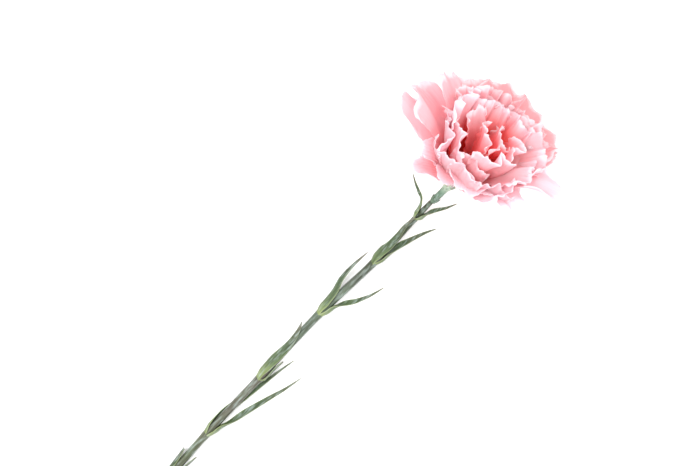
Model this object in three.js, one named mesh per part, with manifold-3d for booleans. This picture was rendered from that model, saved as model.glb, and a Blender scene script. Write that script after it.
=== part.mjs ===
// A cut carnation lying on its side. Millimetres, +X from the cut end to the bloom, +Z up.
// The origin is on the surface that it lies on, in the flat spot under the cut end.
import * as THREE from "three";
import { mergeVertices } from "three/addons/utils/BufferGeometryUtils.js";
import Module from "manifold-3d";

const wasm = await Module();
wasm.setup();
const { clamp, degToRad, lerp, smoothstep } = THREE.MathUtils;

// Stem: where its axis runs and how thick it is there
const STEM_AXIS = [
  { x: -8, y: 0, z: 0.95, radius: 1.5 },
  { x: 37, y: 0.3, z: 2.9, radius: 1.6 },
  { x: 65.5, y: 1.5, z: 3.5, radius: 1.6 },
  { x: 100, y: 2.2, z: 4.1, radius: 1.6 },
  { x: 139, y: 3.1, z: 4.6, radius: 1.65 },
  { x: 171.5, y: 1.9, z: 5.1, radius: 1.55 },
  { x: 198, y: 2.5, z: 8.9, radius: 1.2 },
  { x: 207.5, y: 2.7, z: 13.4, radius: 1.0 },
];
const CUT_SLOPE = 0.73;
const CUT_STRETCH = 0.5;
const STEM_SIDES = 10;
const STEM_STEPS = 45;

// Nodes of the stem, from which the leaves grow in pairs
const NODE_PLACES = [37, 65.5, 100, 139, 171.5, 198];
const NODE_SWELLING = 0.15;
const NODE_LENGTH = 2.5;

// Bloom: the middle of the calyx mouth, and how far the bloom faces up from level
const MOUTH = new THREE.Vector3(218.5, 2.4, 19.6);
const FACING = degToRad(30);

// Calyx: a tube with pointed teeth at its mouth and small pointed bracts round its foot
const CALYX_LENGTH = 12.7;
const CALYX_SIDES = 20;
const TEETH = { count: 5, from: -1.6, to: 0.6, length: 2.4, flare: 0.12 };
const BRACTS = { count: 4, from: -10.2, to: -9.2, length: 1.3, flare: 0.05 };

// Leaves: a path point is [along the stem from the node, away from its axis, turn round it in degrees],
// where turn 0 is the -Y side, 90 the top and 180 the +Y side. face tips the blade's back up (+) or down (-).
const LEAF_THICKNESS = 0.65;
const LEAF_COLUMNS = 4;
const SHEATH_ARC = degToRad(70);
const BLADE_ARC = degToRad(32);
const LEAF_TIP = 0.14;
const LEAVES = {
  leaf_1_left: {
    node: 0, width: 4.2, face: 0.3, tip: 0.5,
    path: [[0, 2.4, 175], [8, 2.6, 170], [17, 3.4, 166]],
  },
  leaf_1_right: {
    node: 0, width: 4.0, face: 0.2, tip: 0.5,
    path: [[0, 2.4, -5], [8, 2.6, -4], [17.5, 3.6, 2]],
  },
  leaf_2_left: {
    node: 1, width: 4.2, face: -0.4,
    path: [
      [0, 2.45, 188], [7, 2.4, 222], [15, 2.5, 262], [24, 2.9, 298],
      [33, 3.9, 320], [42, 5.2, 328], [50, 6.8, 332],
    ],
  },
  leaf_2_right: {
    node: 1, width: 4.4, face: -2.2,
    path: [
      [0, 2.4, -12], [6, 3.0, 0], [12, 4.6, 12], [20, 6.4, 20],
      [31, 9.6, 24], [40, 12.4, 25], [49, 14.4, 24],
    ],
  },
  leaf_3_left: {
    node: 2, width: 5.4, face: 0.6,
    path: [[0, 2.5, 165], [7, 2.65, 130], [14, 2.9, 104], [21, 3.4, 98], [27, 4.2, 110], [32, 5.2, 126]],
  },
  leaf_3_right: {
    node: 2, width: 4.4, face: 0.2, tip: 0.6,
    path: [[0, 2.4, -20], [6, 2.5, -15], [12, 2.9, -6]],
  },
  leaf_4_left: {
    node: 3, width: 5.0, face: 0.5,
    path: [[0, 2.55, 172], [6, 2.85, 146], [12, 3.7, 141], [18, 5.8, 145], [26, 6.6, 146], [34.5, 6.2, 142]],
  },
  leaf_4_right: {
    node: 3, width: 3.8, face: -2.0,
    path: [[0, 2.5, -5], [6, 2.95, 6], [11, 4.8, 18], [15.5, 7.4, 22], [22, 10.0, 24], [29, 11.6, 24]],
  },
  leaf_5_left: {
    node: 4, width: 4.6, face: 0.8,
    path: [[0, 2.5, 168], [5, 2.72, 128], [10, 2.9, 98], [16, 3.2, 98], [22, 3.6, 106], [28, 4.0, 98]],
  },
  leaf_5_right: {
    node: 4, width: 4.2, face: -1.8,
    path: [[0, 2.45, -14], [6, 2.55, -18], [12, 3.1, -12], [17, 4.5, 0], [24, 7.0, 10], [30, 9.6, 14]],
  },
  leaf_6_left: {
    node: 5, width: 3.8, face: 0.6,
    path: [
      [0, 2.2, 185], [4, 2.45, 174], [7.6, 3.8, 172],
      [9.8, 7.2, 174], [11.8, 10.6, 175], [14, 13.6, 176],
    ],
  },
  leaf_6_right: {
    node: 5, width: 3.2, face: -1.6,
    path: [[0, 2.2, 5], [4, 2.45, 4], [8, 3.6, 8], [13, 6.4, 11], [18, 8.6, 12]],
  },
};

// Petals: facing is the turn round the bloom's axis (0 at -Y, 90 at the top), reach and rise place the
// middle of the margin out from the axis and on from the calyx mouth, and knee bends the petal on its way.
// A habit holds what a layer's petals have in common: [middle, range] is drawn anew for each petal, unless
// the petal has a number of its own.
const PETAL_THICKNESS = 0.6;
const PETAL_FOOT_SHARE = 0.12;
const TOOTH = 0.045;
const ARCH_ROUNDNESS = 2.4;
const ARCH_ONSET = 1.2;
const SEED = 7;
const OUTER = {
  foot: [2.4, 4.2], cup: [1, 2], roll: [0, 7], swing: [0, 3], ruffle: [1.2, 0.4],
  waves: [1.4, 0.4], arch: 0.2, columns: 6, rows: 3,
  petals: [
    { facing: 181, reach: 40, rise: 15, width: 18 },
    { facing: 193, reach: 40.5, rise: 21, width: 26 },
    { facing: 212, reach: 39, rise: 27, width: 28, arch: 0.3, roll: -6, cup: 0.3, ruffle: 0.8 },
    { facing: 234, reach: 36.5, rise: 29, width: 25 },
    { facing: 245, reach: 39, rise: 19, width: 26, arch: 0.38 },
    { facing: 254, reach: 38.5, rise: 31, width: 27 },
    { facing: 275, reach: 39.5, rise: 31, width: 27 },
    { facing: 295, reach: 39, rise: 19, width: 28, arch: 0.38 },
    { facing: 295, reach: 38.5, rise: 31, width: 26 },
    { facing: 306, reach: 38.5, rise: 28, width: 20 },
    { facing: 345, reach: 37.5, rise: 28, width: 21, arch: 0.35 },
    { facing: 330, reach: 25.5, rise: 29, width: 20 },
    { facing: 8, reach: 26, rise: 19, width: 24 },
    { facing: 40, reach: 20, rise: 19, width: 22 },
    { facing: 72, reach: 21.5, rise: 19, width: 20 },
    { facing: 104, reach: 20, rise: 14, width: 18, columns: 4 },
    { facing: 130, reach: 27, rise: 9, width: 14, columns: 4 },
    { facing: 143, reach: 23, rise: 14, width: 16, columns: 4 },
  ],
};
const RING = {
  foot: [2, 5], knee: [7, 23], cup: [1.5, 2], roll: [0, 10], swing: [0, 5], ruffle: [2.0, 0.5],
  waves: [1.4, 0.4], arch: 0.14, columns: 4, rows: 3,
  petals: [
    { facing: 186, reach: 20.5, rise: 38, width: 28, knee: [12, 22], ruffle: 1.2 },
    { facing: 140, reach: 17, rise: 33, width: 22, knee: [14, 18], ruffle: 0.4, roll: 0 },
    { facing: 88, reach: 15, rise: 30, width: 17, knee: [13, 15], ruffle: 0.8, roll: 0 },
    { facing: 45, reach: 13, rise: 36, width: 22, knee: [11, 18] },
    { facing: 345, reach: 10, rise: 37, width: 17 },
    { facing: 235, reach: 17.8, rise: 37, width: 24 },
    { facing: 272, reach: 18, rise: 37, width: 26 },
    { facing: 258, reach: 30, rise: 34, width: 28 },
    { facing: 290, reach: 27.4, rise: 35.5, width: 28 },
    { facing: 315, reach: 25, rise: 34.5, width: 28 },
    { facing: 214, reach: 26, rise: 35, width: 24 },
    { facing: 350, reach: 21, rise: 32, width: 28 },
    { facing: 18, reach: 20, rise: 28, width: 28, knee: [15, 14] },
    { facing: 64, reach: 18.5, rise: 27, width: 30, knee: [15, 14] },
    { facing: 110, reach: 20.5, rise: 26, width: 28, knee: [16, 13] },
    { facing: 158, reach: 20, rise: 30, width: 26, knee: [15, 16] },
  ],
};
const THROAT = {
  foot: [1, 6], knee: [2, 21], cup: [1, 1], roll: [0, 6], swing: [0, 5], ruffle: [1.2, 0.4],
  waves: [1.2, 0.3], arch: 0.1, columns: 4, rows: 3,
  petals: [
    { facing: 203, reach: 15, rise: 35, width: 10.5 },
    { facing: 150, reach: 5.5, rise: 36, width: 15 },
    { facing: 270, reach: 7, rise: 35.5, width: 13, roll: 80 },
    { facing: 20, reach: 6, rise: 34, width: 12 },
  ],
};

// Core of the bloom, which its petals stand out of: [out from the axis, on from the calyx mouth]
const CORE_SIDES = 10;
const CORE_PROFILE = [
  [0, -7], [0.62, -7], [0.62, -3.4], [1.2, -1.0], [1.9, 0.8],
  [2.0, 3.2], [4.6, 5.5], [4.6, 7.8], [2.8, 13], [0, 13],
];

/** A shared rule for random numbers: the same seed always gives the same row of numbers from 0 to 1. */
function randomRow(seed) {
  let state = seed;
  return () => {
    state = (state * 1664525 + 1013904223) % 4294967296;
    return state / 4294967296;
  };
}

/** A smooth course through rows of numbers, read at t from 0 to 1. */
function course(rows, t) {
  const last = rows.length - 1;
  const place = clamp(t, 0, 1) * last;
  const i = Math.min(Math.floor(place), last - 1);
  const f = place - i;
  const row = (k) => rows[clamp(k, 0, last)];
  return rows[0].map((_, n) => {
    const [a, b, c, d] = [row(i - 1)[n], row(i)[n], row(i + 1)[n], row(i + 2)[n]];
    return b + 0.5 * f * (c - a + f * (2 * a - 5 * b + 4 * c - d + f * (3 * (b - c) + d - a)));
  });
}

/** How fast a value of the stem's axis changes along it at one of its points. */
function stemSlope(k, name) {
  const before = STEM_AXIS[Math.max(k - 1, 0)];
  const after = STEM_AXIS[Math.min(k + 1, STEM_AXIS.length - 1)];
  return (after[name] - before[name]) / (after.x - before.x);
}

/** Where the stem is at a distance along it: a point of its axis, its direction, upper side and radius. */
function stemAt(x) {
  const beyond = STEM_AXIS.findIndex((row) => row.x > x);
  const from = beyond < 0 ? STEM_AXIS.length - 2 : Math.max(beyond - 1, 0);
  const [a, b] = [STEM_AXIS[from], STEM_AXIS[from + 1]];
  const span = b.x - a.x;
  const f = (x - a.x) / span;
  const read = (name) => {
    const [p, q] = [stemSlope(from, name) * span, stemSlope(from + 1, name) * span];
    const rise = b[name] - a[name];
    return a[name] + f * (p + f * (3 * rise - 2 * p - q + f * (p + q - 2 * rise)));
  };
  const rate = (name) => lerp(stemSlope(from, name), stemSlope(from + 1, name), f);
  const direction = new THREE.Vector3(1, rate("y"), rate("z")).normalize();
  const upper = new THREE.Vector3(0, 0, 1).addScaledVector(direction, -direction.z).normalize();
  const swellings = NODE_PLACES.map((node) => NODE_SWELLING * Math.exp(-(((x - node) / NODE_LENGTH) ** 2)));
  const swell = swellings.reduce((sum, swelling) => sum + swelling);
  const point = new THREE.Vector3(x, read("y"), read("z"));
  return { point, direction, upper, radius: read("radius") + swell };
}

/** The direction away from the stem's axis at a turn round it. */
function awayFrom(stem, turn) {
  const side = new THREE.Vector3().crossVectors(stem.direction, stem.upper);
  const angle = degToRad(turn);
  return side.multiplyScalar(Math.cos(angle)).addScaledVector(stem.upper, Math.sin(angle));
}

/** A point out from the bloom's axis, to the side and upward, and on from the calyx mouth. */
function inBloom(across, upward, onward) {
  const axis = new THREE.Vector3(Math.cos(FACING), 0, Math.sin(FACING));
  const upper = new THREE.Vector3(-Math.sin(FACING), 0, Math.cos(FACING));
  const point = MOUTH.clone().addScaledVector(axis, onward).addScaledVector(upper, upward);
  point.y -= across;
  return point;
}

/** Moves every point of a geometry to where the function puts it. */
function reshape(geometry, placeOf) {
  const position = geometry.attributes.position;
  for (let i = 0; i < position.count; i++) {
    const point = placeOf(new THREE.Vector3().fromBufferAttribute(position, i));
    position.setXYZ(i, point.x, point.y, point.z);
  }
  return geometry;
}

/** A closed solid of manifold-3d from a geometry whose faces point out. */
function toSolid(geometry) {
  const bare = geometry.clone();
  bare.deleteAttribute("normal");
  bare.deleteAttribute("uv");
  const merged = mergeVertices(bare, 1e-4);
  const vertProperties = new Float32Array(merged.attributes.position.array);
  const triVerts = new Uint32Array(merged.index.array);
  return new wasm.Manifold(new wasm.Mesh({ numProp: 3, vertProperties, triVerts }));
}

/** The largest body of a solid, with any sealed hollow filled and loose scraps dropped. */
function mainBody(solid) {
  return solid.decompose().reduce((largest, body) => (body.volume() > largest.volume() ? body : largest));
}

/** The geometry of a solid of manifold-3d. */
function toGeometry(solid) {
  const { vertProperties, triVerts } = solid.getMesh();
  const geometry = new THREE.BufferGeometry();
  geometry.setAttribute("position", new THREE.BufferAttribute(new Float32Array(vertProperties), 3));
  geometry.setIndex(new THREE.BufferAttribute(new Uint32Array(triVerts), 1));
  geometry.computeVertexNormals();
  return geometry;
}

/** Everything below the surface that the flower lies on, to cut flat what would reach under it. */
function underSurface() {
  const [length, width, depth] = [400, 200, 40];
  const block = new THREE.BoxGeometry(length, width, depth);
  block.translate(length / 3, 0, -depth / 2);
  return toSolid(block);
}

/** A thin closed blade round the middle surface placeAt(u, v), with both faces split alike. */
function blade(columns, rows, thickness, placeAt) {
  const points = [];
  const faces = [];
  const across = columns + 1;
  const layer = across * (rows + 1);
  const step = 1e-3;
  for (const side of [0.5, -0.5]) {
    for (let j = 0; j <= rows; j++) {
      for (let i = 0; i <= columns; i++) {
        const [u, v] = [(2 * i) / columns - 1, j / rows];
        const alongU = placeAt(u + step, v).sub(placeAt(u - step, v));
        const alongV = placeAt(u, v + step).sub(placeAt(u, v - step));
        const normal = alongU.cross(alongV).normalize();
        points.push(...placeAt(u, v).addScaledVector(normal, side * thickness));
      }
    }
  }
  const corner = (i, j, side) => side * layer + j * across + i;
  const quad = (a, b, c, d) => faces.push(a, b, c, a, c, d);
  for (let j = 0; j < rows; j++) {
    for (let i = 0; i < columns; i++) {
      const [a, b] = [corner(i, j, 0), corner(i + 1, j, 0)];
      const [c, d] = [corner(i + 1, j + 1, 0), corner(i, j + 1, 0)];
      faces.push(a, b, c, a, c, d);
      faces.push(a + layer, c + layer, b + layer, a + layer, d + layer, c + layer);
    }
  }
  for (let i = 0; i < columns; i++) {
    quad(corner(i, 0, 1), corner(i + 1, 0, 1), corner(i + 1, 0, 0), corner(i, 0, 0));
    quad(corner(i, rows, 0), corner(i + 1, rows, 0), corner(i + 1, rows, 1), corner(i, rows, 1));
  }
  for (let j = 0; j < rows; j++) {
    quad(corner(0, j, 0), corner(0, j + 1, 0), corner(0, j + 1, 1), corner(0, j, 1));
    quad(corner(columns, j, 1), corner(columns, j + 1, 1), corner(columns, j + 1, 0), corner(columns, j, 0));
  }
  const geometry = new THREE.BufferGeometry();
  geometry.setAttribute("position", new THREE.Float32BufferAttribute(points, 3));
  geometry.setIndex(faces);
  return geometry;
}

/** The stem: a round bar that swells at each node, cut on a slant at one end and flat where it lies. */
function makeStem() {
  const [start, end] = [STEM_AXIS[0], STEM_AXIS.at(-1)];
  const length = end.x - start.x;
  const bar = reshape(new THREE.CylinderGeometry(1, 1, length, STEM_SIDES, STEM_STEPS), (point) => {
    const stem = stemAt(start.x + length / 2 + point.y);
    const placed = stem.point.clone();
    placed.addScaledVector(awayFrom(stem, 0), point.x * stem.radius);
    placed.addScaledVector(stem.upper, point.z * stem.radius);
    if (placed.x < start.x + CUT_STRETCH) {
      placed.x += (placed.z - start.z) * CUT_SLOPE;
    }
    return placed;
  });
  return toGeometry(toSolid(bar).subtract(underSurface()));
}

/** How wide a leaf is at v, as a share: full along the sheath and blade, then narrower towards the tip. */
function leafTaper(leaf, v) {
  const round = Math.sqrt(Math.max(1 - ((Math.max(v, 0.35) - 0.35) / 0.66) ** 2, 0));
  const pointed = 1.15 * Math.max(1.01 - v, 0) ** 0.75;
  return leaf.tip ? Math.max(round, leaf.tip) : Math.max(Math.min(round, pointed), LEAF_TIP);
}

/** The middle surface of a leaf: a sheath round the stem that runs out into a keeled blade. */
function leafSurface(leaf) {
  const places = leaf.path.map(([along, away, turn]) => {
    const stem = stemAt(NODE_PLACES[leaf.node] + along);
    const out = awayFrom(stem, turn);
    return [...stem.point.clone().addScaledVector(out, away), ...out];
  });
  const sheathWidth = 2 * SHEATH_ARC * leaf.path[0][1];
  return (u, v) => {
    const [x, y, z, outX, outY, outZ] = course(places, v);
    const ahead = new THREE.Vector3(...course(places, v + 0.01));
    const direction = ahead.sub(new THREE.Vector3(...course(places, v - 0.01))).normalize();
    const back = new THREE.Vector3(outX, outY, outZ + leaf.face * smoothstep(v, 0.2, 0.6));
    back.addScaledVector(direction, -back.dot(direction)).normalize();
    const side = new THREE.Vector3().crossVectors(direction, back);
    const opened = smoothstep(v, 0.05, 0.4);
    const width = lerp(sheathWidth, leaf.width, opened) * leafTaper(leaf, v);
    const arc = lerp(SHEATH_ARC, BLADE_ARC, opened);
    const radius = width / 2 / arc;
    const point = new THREE.Vector3(x, y, z).addScaledVector(side, radius * Math.sin(u * arc));
    return point.addScaledVector(back, -radius * (1 - Math.cos(u * arc)));
  };
}

/** A leaf as one thin curved solid. */
function makeLeaf(leaf) {
  return blade(LEAF_COLUMNS, 2 * leaf.path.length, LEAF_THICKNESS, leafSurface(leaf));
}

/** How far a ring of teeth or bracts draws a point of the calyx onward. */
function pointedBy(ring, turn, onward) {
  const rim = smoothstep(onward, ring.from, ring.to) * (onward < ring.to + 0.1 ? 1 : 0);
  return ring.length * rim * Math.max(0, Math.cos(turn * ring.count)) ** 1.5;
}

/** The calyx: a tube that holds the foot of the bloom, with teeth at its mouth and bracts round its foot. */
function makeCalyx() {
  const foot = 1 - CALYX_LENGTH;
  const profile = [
    [0, foot], [1.25, foot], [1.7, BRACTS.from], [1.85, BRACTS.to], [1.5, -8.9], [1.6, -4.5], [2.2, -1.5],
    [3.0, TEETH.to], [2.4, TEETH.to], [1.6, -1.2], [0.95, -3.5], [0.95, -8], [0, -8],
  ];
  const cup = new THREE.LatheGeometry(profile.map((point) => new THREE.Vector2(...point)), CALYX_SIDES);
  return reshape(cup, (point) => {
    const turn = Math.atan2(point.z, point.x);
    const tooth = pointedBy(TEETH, turn, point.y);
    const bract = pointedBy(BRACTS, turn, point.y);
    const flare = 1 + TEETH.flare * tooth + BRACTS.flare * bract;
    return inBloom(point.x * flare, point.z * flare, point.y + tooth + bract);
  });
}

/** The middle surface of a petal: a narrow foot that opens into a ruffled fan with a toothed margin. */
function petalSurface(petal) {
  const { foot, knee } = petal;
  const tip = [petal.reach, petal.rise];
  return (u, v) => {
    const column = Math.round((u + 1) * petal.columns * 0.5);
    const arch = petal.arch * Math.abs(u) ** ARCH_ROUNDNESS;
    const tooth = column % 2 ? TOOTH : 0;
    const t = v * (1 - arch * Math.max(v, 0) ** ARCH_ONSET - tooth * v ** 3);
    const along = (n) => (1 - t) ** 2 * foot[n] + 2 * t * (1 - t) * knee[n] + t * t * tip[n];
    const rate = (n) => (1 - t) * (knee[n] - foot[n]) + t * (tip[n] - knee[n]);
    const length = Math.hypot(rate(0), rate(1));
    const opened = Math.sin((Math.PI / 2) * clamp(v / 0.9, 0, 1));
    const across = 0.5 * petal.width * u * lerp(PETAL_FOOT_SHARE, 1, opened ** 1.2);
    const wave = Math.sin(Math.PI * petal.waves * u + petal.phase * 3);
    const lift = petal.ruffle * v * v * wave + petal.cup * u * u * v * v;
    const roll = degToRad(petal.roll) * v;
    const sideways = across * Math.cos(roll) - lift * Math.sin(roll);
    const inwards = lift * Math.cos(roll) + across * Math.sin(roll);
    const turn = degToRad(petal.facing + petal.swing * v * v);
    const away = along(0) - (rate(1) / length) * inwards;
    return inBloom(
      away * Math.cos(turn) - sideways * Math.sin(turn),
      away * Math.sin(turn) + sideways * Math.cos(turn),
      along(1) + (rate(0) / length) * inwards,
    );
  };
}

/** Every petal with its whole form: what its layer has in common, its own draws and its own place. */
function listPetals() {
  const random = randomRow(SEED);
  const draw = ([middle, range]) => middle + range * (2 * random() - 1);
  return [OUTER, RING, THROAT].flatMap(({ petals, ...habit }) =>
    petals.map((petal) => ({
      ...habit,
      knee: habit.knee ?? [petal.reach * 0.35, petal.rise + 2],
      cup: draw(habit.cup),
      roll: draw(habit.roll),
      swing: draw(habit.swing),
      ruffle: draw(habit.ruffle),
      waves: draw(habit.waves),
      phase: random() * Math.PI,
      ...petal,
    })),
  );
}

/** The bloom: its petals stand out of a small core, whose foot is held in the calyx. */
function makeBloom() {
  const core = new THREE.LatheGeometry(CORE_PROFILE.map((point) => new THREE.Vector2(...point)), CORE_SIDES);
  const heart = toSolid(reshape(core, (point) => inBloom(point.x, point.z, point.y)));
  const petals = listPetals().map((petal) => {
    return toSolid(blade(petal.columns, petal.rows, PETAL_THICKNESS, petalSurface(petal)));
  });
  const bloom = petals.reduce((whole, petal) => whole.add(petal), heart);
  return toGeometry(mainBody(bloom.subtract(underSurface())));
}

function finish(color, roughness) {
  return new THREE.MeshStandardMaterial({ color, roughness, metalness: 0, flatShading: true });
}

const STEM_FINISH = finish(0x8fa89a, 0.6);
const LEAF_FINISH = finish(0x6e8a50, 0.55);
const CALYX_FINISH = finish(0x9fb58c, 0.55);
const PETAL_FINISH = finish(0xffc0c8, 0.7);

const carnation = new THREE.Group();

function place(name, geometry, material) {
  const mesh = new THREE.Mesh(geometry, material);
  mesh.name = name;
  carnation.add(mesh);
}

place("stem", makeStem(), STEM_FINISH);
for (const [name, leaf] of Object.entries(LEAVES)) {
  place(name, makeLeaf(leaf), LEAF_FINISH);
}
place("calyx", makeCalyx(), CALYX_FINISH);
place("bloom", makeBloom(), PETAL_FINISH);

export default carnation;
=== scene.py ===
import math

import bpy
import numpy as np
from mathutils import Matrix, Vector, noise


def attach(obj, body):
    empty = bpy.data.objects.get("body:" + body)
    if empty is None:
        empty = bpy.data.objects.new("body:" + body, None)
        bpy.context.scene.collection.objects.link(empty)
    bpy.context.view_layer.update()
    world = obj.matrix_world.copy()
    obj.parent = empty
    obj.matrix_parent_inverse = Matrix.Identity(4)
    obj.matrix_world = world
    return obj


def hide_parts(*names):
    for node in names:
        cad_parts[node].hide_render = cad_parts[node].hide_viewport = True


# A cut carnation lying on its side. Lengths are in millimetres, apart from those of the textures, the
# lights, the floor and how far the camera sees, which are in metres.
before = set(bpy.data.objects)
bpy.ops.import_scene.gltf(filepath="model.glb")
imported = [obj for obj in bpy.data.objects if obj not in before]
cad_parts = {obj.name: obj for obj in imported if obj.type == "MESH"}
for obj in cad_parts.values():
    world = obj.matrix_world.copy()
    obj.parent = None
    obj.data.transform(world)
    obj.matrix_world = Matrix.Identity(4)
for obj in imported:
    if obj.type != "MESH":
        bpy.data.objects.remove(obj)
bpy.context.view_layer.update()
MM = 0.001
TAU = 2 * math.pi

# Stem: x, y, z and radius of the points that its axis runs through
STEM_AXIS = (
    (-8, 0, 0.95, 1.5),
    (37, 0.3, 2.9, 1.6),
    (65.5, 1.5, 3.5, 1.6),
    (100, 2.2, 4.1, 1.6),
    (139, 3.1, 4.6, 1.65),
    (171.5, 1.9, 5.1, 1.55),
    (198, 2.5, 8.9, 1.2),
    (207.5, 2.7, 13.4, 1.0),
)
STEM_STEPS = 420
STEM_SIDES = 40

# Skin of the stem: how far its cut end slants for each millimetre of height and over what stretch, ridges
# along it, and bulges that take turns on two sides of it. Heights are shares of the radius.
CUT_SLOPE = 0.73
CUT_STRETCH = 0.5
STEM_RIDGES = dict(count=8, height=0.02)
STEM_BULGES = dict(rate=0.35, height=0.015)

# Nodes of the stem, from which the leaves grow in pairs: where they are, how far they swell and how long
# the swelling is
NODE_PLACES = (37, 65.5, 100, 139, 171.5, 198)
NODE_SWELLING = 0.15
NODE_LENGTH = 2.5

# Bloom: the middle of the calyx mouth, and how far the bloom faces up from level
MOUTH = np.array((218.5, 2.4, 19.6))
FACING = math.radians(30)
AXIS = np.array((math.cos(FACING), 0.0, math.sin(FACING)))
UPPER = np.array((-math.sin(FACING), 0.0, math.cos(FACING)))

# Throat of the bloom: how far on from the calyx mouth its red is deepest, and how far that reaches
THROAT_ONWARD = 23
THROAT_POINT = MOUTH + THROAT_ONWARD * AXIS
THROAT_REACH = 19

# Core of the bloom: its petals' feet in one bundle, (out from the axis, on from the calyx mouth).
# Its red fades from the throat end to the foot, the faster the larger CORE_FADING is.
CORE_PROFILE = (
    (0.6, -6.5), (0.62, -3.4), (1.2, -1.0), (1.9, 0.8), (2.1, 3.2),
    (3.6, 5.0), (4.3, 7.0), (3.6, 10), (1.5, 13),
)
CORE_STEPS = 90
CORE_SIDES = 96
CORE_RIBS = dict(count=16, height=0.05)
CORE_TINT = (0.95, 0.1)
CORE_FADING = 2.2

# How close petals come to the surface that the flower lies on, in a few steps so that they don't coincide.
# They bend softly over SURFACE_BEND, and move outward by OUTWARD_SHARE of what they are lifted.
SURFACE_GAP = 0.15
SURFACE_STEP = 0.02
SURFACE_STEPS = 5
SURFACE_BEND = 0.9
OUTWARD_SHARE = 0.7

# Calyx: a tube with pointed teeth at its mouth and small pointed bracts round its foot. Places are on from
# the calyx mouth along the bloom's axis, and the profile is (place, radius). A ring of teeth or bracts is
# drawn out by up to its length, more and more from its start to its end, and not at all from POINT_MARGIN
# past its end. flare is the share by which it widens for each millimetre that it is drawn out.
CALYX_STEPS = 160
CALYX_SIDES = 80
CALYX_FOOT = -11.7
CALYX_RIBS = dict(count=20, height=0.012)
TEETH = dict(count=5, start=-1.6, end=0.6, length=2.4, flare=0.12)
BRACTS = dict(count=4, start=-10.2, end=-9.2, length=1.3, flare=0.05)
POINT_POWER = 1.5
POINT_MARGIN = 0.1
CALYX_PROFILE = (
    (CALYX_FOOT, 1.25), (BRACTS["start"], 1.7), (BRACTS["end"], 1.85), (-8.9, 1.45),
    (-4.5, 1.45), (-2.5, 1.55), (-1, 1.95), (TEETH["end"], 2.55),
)

# Leaves: a path point is (along the stem from the node, away from its axis, turn round it in degrees),
# where turn 0 is the -Y side, 90 the top and 180 the +Y side. face tips the blade's back up (+) or down (-),
# and tip is the share of its width that a leaf with a blunt end keeps there.
LEAVES = {
    "leaf_1_left": dict(
        node=0, width=4.2, face=0.3, tip=0.5,
        path=((0, 2.4, 175), (8, 2.6, 170), (17, 3.4, 166)),
    ),
    "leaf_1_right": dict(
        node=0, width=4.0, face=0.2, tip=0.5,
        path=((0, 2.4, -5), (8, 2.6, -4), (17.5, 3.6, 2)),
    ),
    "leaf_2_left": dict(
        node=1, width=4.2, face=-0.4,
        path=(
            (0, 2.45, 188), (7, 2.4, 222), (15, 2.5, 262), (24, 2.9, 298),
            (33, 3.9, 320), (42, 5.2, 328), (50, 6.8, 332),
        ),
    ),
    "leaf_2_right": dict(
        node=1, width=4.4, face=-2.2,
        path=(
            (0, 2.4, -12), (6, 3.0, 0), (12, 4.6, 12), (20, 6.4, 20),
            (31, 9.6, 24), (40, 12.4, 25), (49, 14.4, 24),
        ),
    ),
    "leaf_3_left": dict(
        node=2, width=5.4, face=0.6,
        path=((0, 2.5, 165), (7, 2.65, 130), (14, 2.9, 104), (21, 3.4, 98), (27, 4.2, 110), (32, 5.2, 126)),
    ),
    "leaf_3_right": dict(
        node=2, width=4.4, face=0.2, tip=0.6,
        path=((0, 2.4, -20), (6, 2.5, -15), (12, 2.9, -6)),
    ),
    "leaf_4_left": dict(
        node=3, width=5.0, face=0.5,
        path=(
            (0, 2.55, 172), (6, 2.85, 146), (12, 3.7, 141),
            (18, 5.8, 145), (26, 6.6, 146), (34.5, 6.2, 142),
        ),
    ),
    "leaf_4_right": dict(
        node=3, width=3.8, face=-2.0,
        path=((0, 2.5, -5), (6, 2.95, 6), (11, 4.8, 18), (15.5, 7.4, 22), (22, 10.0, 24), (29, 11.6, 24)),
    ),
    "leaf_5_left": dict(
        node=4, width=4.6, face=0.8,
        path=((0, 2.5, 168), (5, 2.72, 128), (10, 2.9, 98), (16, 3.2, 98), (22, 3.6, 106), (28, 4.0, 98)),
    ),
    "leaf_5_right": dict(
        node=4, width=4.2, face=-1.8,
        path=((0, 2.45, -14), (6, 2.55, -18), (12, 3.1, -12), (17, 4.5, 0), (24, 7.0, 10), (30, 9.6, 14)),
    ),
    "leaf_6_left": dict(
        node=5, width=3.8, face=0.6,
        path=(
            (0, 2.2, 185), (4, 2.45, 174), (7.6, 3.8, 172),
            (9.8, 7.2, 174), (11.8, 10.6, 175), (14, 13.6, 176),
        ),
    ),
    "leaf_6_right": dict(
        node=5, width=3.2, face=-1.6,
        path=((0, 2.2, 5), (4, 2.45, 4), (8, 3.6, 8), (13, 6.4, 11), (18, 8.6, 12)),
    ),
}
LEAF_COLUMNS = 20
LEAF_ROWS = 90

# Thickness of a leaf in its middle, how much less it is at the edges, and the share that its tip loses
LEAF_THICKNESS = dict(middle=0.5, lost_at_edge=0.3, lost_at_tip=0.4)

# How far either side of a sheath and of a blade is bent round
SHEATH_ARC = math.radians(70)
BLADE_ARC = math.radians(40)

# How much closer a leaf's base hugs the stem, and then by shares of its length: where that ends, where its
# blade opens, where its face turns, and how far ahead and behind its heading is read
BASE_HUG = 0.9
HUG_END = 0.12
BLADE_OPENS = (0.05, 0.4)
FACE_TURNS = (0.2, 0.6)
HEADING_STEP = 0.01

# Taper of a leaf, by shares of its length and width: where a rounded end starts and how soon it closes, and
# the form of a pointed one
TAPER_START = 0.35
ROUND_SPAN = 0.66
POINTED = dict(width=1.15, end=1.01, power=0.75)

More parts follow.
